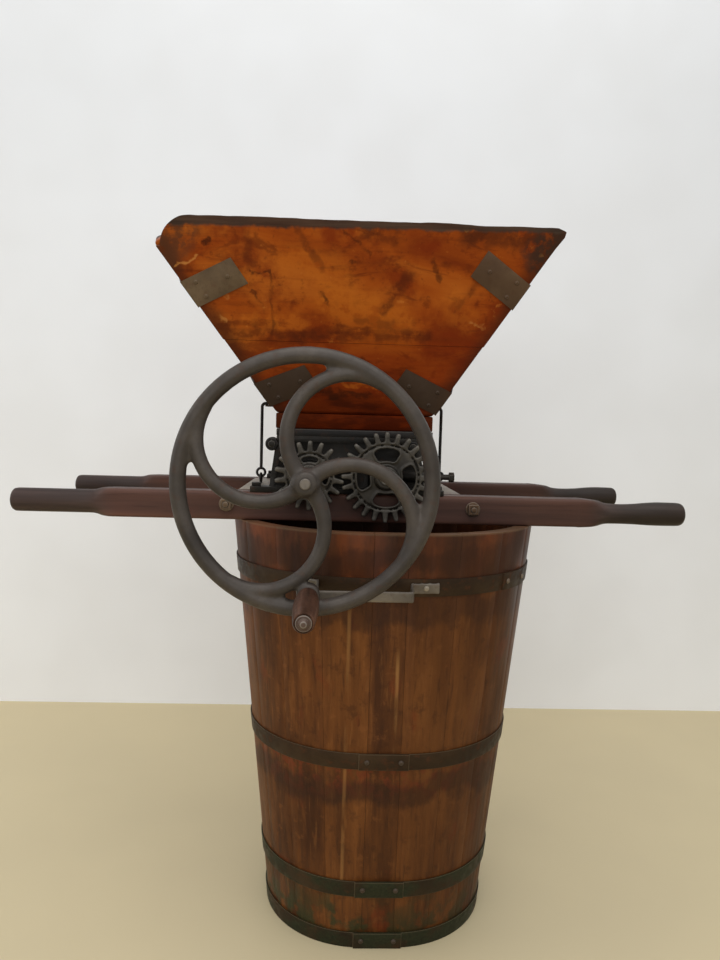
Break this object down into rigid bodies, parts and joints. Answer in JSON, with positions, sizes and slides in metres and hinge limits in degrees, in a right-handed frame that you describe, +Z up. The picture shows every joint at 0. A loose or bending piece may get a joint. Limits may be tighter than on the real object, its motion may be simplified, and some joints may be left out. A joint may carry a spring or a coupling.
{
  "type": "grape crusher",
  "caption": "Hand-cranked grape crusher: wooden hopper over ribbed rollers driven by a spoked flywheel through gears, carried on beams across a hooped stave tub.",
  "frame": {"origin": "middle of the tub's foot, on the floor", "axes": "+Z up; +X to the right of someone facing the flywheel, along the beams; +Y away from the flywheel, along the roller shafts"},
  "size_m": [1.196, 0.8023, 1.2437],
  "materials": {
    "tub_wood": "dark oiled wood",
    "hoop_iron": "rusted hoop iron with traces of green paint",
    "handle_iron": "worn strap iron",
    "beam_wood": "dark red-brown wood, worn at the grips",
    "bolt_iron": "dark iron",
    "box_iron": "bare grey cast iron",
    "steel": "dull steel",
    "bronze": "dull bronze",
    "hopper_wood": "amber varnish, darker towards the foot",
    "strap_iron": "dull olive-brown iron",
    "hook_iron": "black iron",
    "gear_iron": "dark cast iron",
    "wheel_iron": "smooth dark grey cast iron",
    "grip_wood": "brown turned wood"
  },
  "bodies": {
    "tub": {"front_stave": "tub_wood", "rear_stave": "tub_wood", "left_staves": "tub_wood", "right_staves": "tub_wood", "tub_bottom": "tub_wood", "top_hoop": "hoop_iron", "middle_hoop": "hoop_iron", "lower_hoop": "hoop_iron", "base_hoop": "hoop_iron", "tub_rivets": "hoop_iron", "front_tub_handle": "handle_iron", "rear_tub_handle": "handle_iron"},
    "crusher": {"front_beam": "beam_wood", "rear_beam": "beam_wood", "left_crossbar": "beam_wood", "right_crossbar": "beam_wood", "tie_bolts": "bolt_iron", "tie_nuts": "bolt_iron", "tie_washers": "bolt_iron", "front_end_plate": "box_iron", "rear_end_plate": "box_iron", "coach_bolts": "steel", "left_side_plate": "box_iron", "right_side_plate": "box_iron", "stay_rods": "steel", "stay_nuts": "bolt_iron", "drive_bushes": "bronze", "lock_nuts": "steel", "hopper_seat": "box_iron", "hopper_collar": "hopper_wood", "front_lower_board": "hopper_wood", "front_upper_board": "hopper_wood", "rear_lower_board": "hopper_wood", "rear_upper_board": "hopper_wood", "left_panel": "hopper_wood", "right_panel": "hopper_wood", "upper_corner_straps": "strap_iron", "lower_corner_straps": "strap_iron", "corner_nails": "strap_iron", "hook_keepers": "strap_iron", "hook_eyes": "hook_iron"},
    "crank": {"drive_shaft": "steel", "drive_roller": "gear_iron", "drive_gear": "gear_iron", "drive_keys": "steel", "flywheel": "wheel_iron", "crank_pin": "steel", "crank_washer": "steel"},
    "grip": {"crank_grip": "grip_wood"},
    "bearing_slide": {"front_bearing_block": "box_iron", "rear_bearing_block": "box_iron"},
    "driven": {"driven_shaft": "steel", "driven_roller": "gear_iron", "driven_gear": "gear_iron", "driven_key": "steel"},
    "front_screw": {"front_adjusting_screw": "steel"},
    "rear_screw": {"rear_adjusting_screw": "steel"},
    "left_hook": {"left_hook": "hook_iron"},
    "right_hook": {"right_hook": "hook_iron"}
  },
  "joints": [
    {"name": "crusher_lift", "type": "slide", "parent": "tub", "child": "crusher", "axis": [0, 0, 1], "range_m": [0, 0.25]},
    {"name": "crank_turn", "type": "hinge", "parent": "crusher", "child": "crank", "pos_m": [-0.137, -0.307, 0.8222], "axis": [0, 1, 0], "continuous": true},
    {"name": "grip_spin", "type": "hinge", "parent": "crank", "child": "grip", "pos_m": [-0.12967, -0.4, 0.65436], "axis": [0, 1, 0], "continuous": true},
    {"name": "roller_gap_slide", "type": "slide", "parent": "crusher", "child": "bearing_slide", "axis": [-1, 0, 0], "range_m": [0, 0.005]},
    {"name": "driven_turn", "type": "hinge", "parent": "bearing_slide", "child": "driven", "pos_m": [-0.005, 0.071, 0.8222], "axis": [0, 1, 0], "continuous": true},
    {"name": "front_screw_turn", "type": "hinge", "parent": "bearing_slide", "child": "front_screw", "pos_m": [0.089, -0.094, 0.8222], "axis": [-1, 0, 0], "range_deg": [0, 900]},
    {"name": "rear_screw_turn", "type": "hinge", "parent": "bearing_slide", "child": "rear_screw", "pos_m": [0.089, 0.236, 0.8222], "axis": [-1, 0, 0], "range_deg": [0, 900]},
    {"name": "left_hook_swing", "type": "hinge", "parent": "crusher", "child": "left_hook", "pos_m": [-0.24, 0.071, 0.8125], "axis": [0, -1, 0], "range_deg": [0, 95]},
    {"name": "right_hook_swing", "type": "hinge", "parent": "crusher", "child": "right_hook", "pos_m": [0.116, 0.071, 0.8125], "axis": [0, 1, 0], "range_deg": [0, 95]}
  ],
  "couplings": [
    {"joint": "driven_turn", "follows": "crank_turn", "ratio": -0.75},
    {"joint": "front_screw_turn", "follows": "roller_gap_slide", "rad_per_m": 3141.6},
    {"joint": "rear_screw_turn", "follows": "roller_gap_slide", "rad_per_m": 3141.6}
  ]
}
